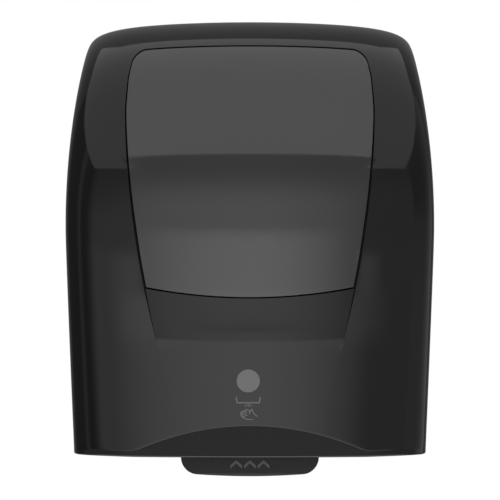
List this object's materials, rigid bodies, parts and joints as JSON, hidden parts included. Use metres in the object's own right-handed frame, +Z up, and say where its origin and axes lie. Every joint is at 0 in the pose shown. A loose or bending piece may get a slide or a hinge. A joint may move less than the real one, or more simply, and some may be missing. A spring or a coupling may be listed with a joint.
{
  "type": "paper towel dispenser",
  "caption": "Wall-mounted electronic paper towel dispenser with a hinged glossy cover, smoked window, motor-driven feed rollers, a sensor underneath and a push bar for manual feed.",
  "frame": {"origin": "centre of the four wall screw holes, on the wall face of the back plate", "axes": "+Z up, +Y into the wall, the front faces -Y, +X to the viewer's right"},
  "size_m": [0.2956, 0.2291, 0.366],
  "materials": {
    "cover_black": "polished moulded ABS",
    "smoke_pane": "smoked clear moulding",
    "housing_grey": "fine moulded texture",
    "frame_grey": "fine moulded texture",
    "natural_plastic": "natural acetal",
    "shaft_steel": "drawn and plated",
    "brass_gear": "cut",
    "roller_rubber": "ground",
    "cell_jacket": "plain printed jacket",
    "board_green": "solder mask",
    "button_red": "moulded",
    "lens_dark": "infrared window"
  },
  "bodies": {
    "chassis": {"back_plate": "housing_grey", "base_tray": "housing_grey", "hinge_pins": "shaft_steel", "tray_screws": "shaft_steel", "latch_keeper": "shaft_steel", "left_side_plate": "frame_grey", "right_side_plate": "frame_grey", "roller_bushes": "natural_plastic", "lever_bushes": "natural_plastic", "chute_front": "housing_grey", "chute_rear": "housing_grey", "tear_bar": "shaft_steel", "guide_bar": "shaft_steel", "module_cover": "housing_grey", "motor": "shaft_steel", "idler_pin": "shaft_steel", "gear_cover": "housing_grey", "gear_cover_screws": "shaft_steel", "lever_spring": "shaft_steel", "battery_box": "housing_grey", "battery_cells": "cell_jacket", "battery_contacts": "shaft_steel", "lid_pin": "shaft_steel", "control_board": "board_green", "sensor_lens": "lens_dark", "sensor_board": "board_green", "right_arm": "frame_grey", "arm_screws": "shaft_steel", "arm_bracket": "frame_grey", "arm_pin": "shaft_steel"},
    "front_cover": {"front_cover": "cover_black", "window_pane": "smoke_pane", "cover_hinge_lugs": "cover_black", "lock_housing": "cover_black"},
    "lock": {"lock_barrel": "shaft_steel", "lock_cam": "shaft_steel"},
    "push_lever": {"lever_shaft": "shaft_steel", "push_bar": "cover_black", "lever_sector": "natural_plastic"},
    "clutch_pinion": {"clutch_pinion": "natural_plastic"},
    "drive_roller": {"drive_shaft": "shaft_steel", "drive_sleeve": "roller_rubber", "drive_gear": "natural_plastic", "one_way_bearing": "shaft_steel"},
    "pinch_roller": {"pinch_shaft": "shaft_steel", "pinch_sleeve": "roller_rubber"},
    "idler_gear": {"idler_gear": "natural_plastic"},
    "motor_pinion": {"motor_pinion": "brass_gear"},
    "left_arm": {"left_arm": "frame_grey"},
    "left_core_plug": {"left_core_plug": "natural_plastic"},
    "right_core_plug": {"right_core_plug": "natural_plastic"},
    "feed_button": {"feed_button": "button_red"},
    "battery_lid": {"battery_lid": "housing_grey"}
  },
  "joints": [
    {"name": "cover_hinge", "type": "hinge", "parent": "chassis", "child": "front_cover", "pos_m": [0, -0.06, -0.178], "axis": [1, 0, 0], "range_deg": [0, 80]},
    {"name": "lock_turn", "type": "hinge", "parent": "front_cover", "child": "lock", "pos_m": [0, -0.038, 0.148], "axis": [0, 0, -1], "range_deg": [0, 90]},
    {"name": "push_lever", "type": "hinge", "parent": "chassis", "child": "push_lever", "pos_m": [0, -0.17796, -0.15399], "axis": [1, 0, 0], "range_deg": [0, 18], "stiffness_Nm_per_rad": 0.5, "springref_deg": -8.59, "deforming": ["lever_spring"]},
    {"name": "clutch_turn", "type": "hinge", "parent": "chassis", "child": "clutch_pinion", "pos_m": [0, -0.14, -0.128], "axis": [1, 0, 0], "range_deg": [-45.7, 0]},
    {"name": "drive_turn", "type": "hinge", "parent": "chassis", "child": "drive_roller", "pos_m": [0, -0.14, -0.128], "axis": [1, 0, 0], "continuous": true},
    {"name": "pinch_turn", "type": "hinge", "parent": "chassis", "child": "pinch_roller", "pos_m": [0, -0.1653, -0.128], "axis": [1, 0, 0], "continuous": true},
    {"name": "idler_turn", "type": "hinge", "parent": "chassis", "child": "idler_gear", "pos_m": [0, -0.109, -0.128], "axis": [1, 0, 0], "continuous": true},
    {"name": "motor_turn", "type": "hinge", "parent": "chassis", "child": "motor_pinion", "pos_m": [0, -0.083, -0.128], "axis": [1, 0, 0], "continuous": true},
    {"name": "left_arm_swing", "type": "hinge", "parent": "chassis", "child": "left_arm", "pos_m": [-0.11, -0.013, 0.032], "axis": [0, 0, -1], "range_deg": [0, 12], "stiffness_Nm_per_rad": 1, "springref_deg": -2.86},
    {"name": "left_plug_turn", "type": "hinge", "parent": "left_arm", "child": "left_core_plug", "pos_m": [0, -0.108, 0.032], "axis": [1, 0, 0], "continuous": true},
    {"name": "right_plug_turn", "type": "hinge", "parent": "chassis", "child": "right_core_plug", "pos_m": [0, -0.108, 0.032], "axis": [1, 0, 0], "continuous": true},
    {"name": "feed_press", "type": "slide", "parent": "chassis", "child": "feed_button", "axis": [0, 0, -1], "range_m": [0, 0.0025], "stiffness_N_per_m": 200, "springref_m": -0.002},
    {"name": "lid_swing", "type": "hinge", "parent": "chassis", "child": "battery_lid", "pos_m": [0.016, -0.008, -0.1041], "axis": [-1, 0, 0], "range_deg": [0, 85]}
  ],
  "couplings": [
    {"joint": "clutch_turn", "follows": "push_lever", "ratio": -2.5385},
    {"joint": "pinch_turn", "follows": "drive_turn", "ratio": -1.7778},
    {"joint": "idler_turn", "follows": "drive_turn", "ratio": -3.4286},
    {"joint": "motor_turn", "follows": "drive_turn", "ratio": 11.429}
  ]
}
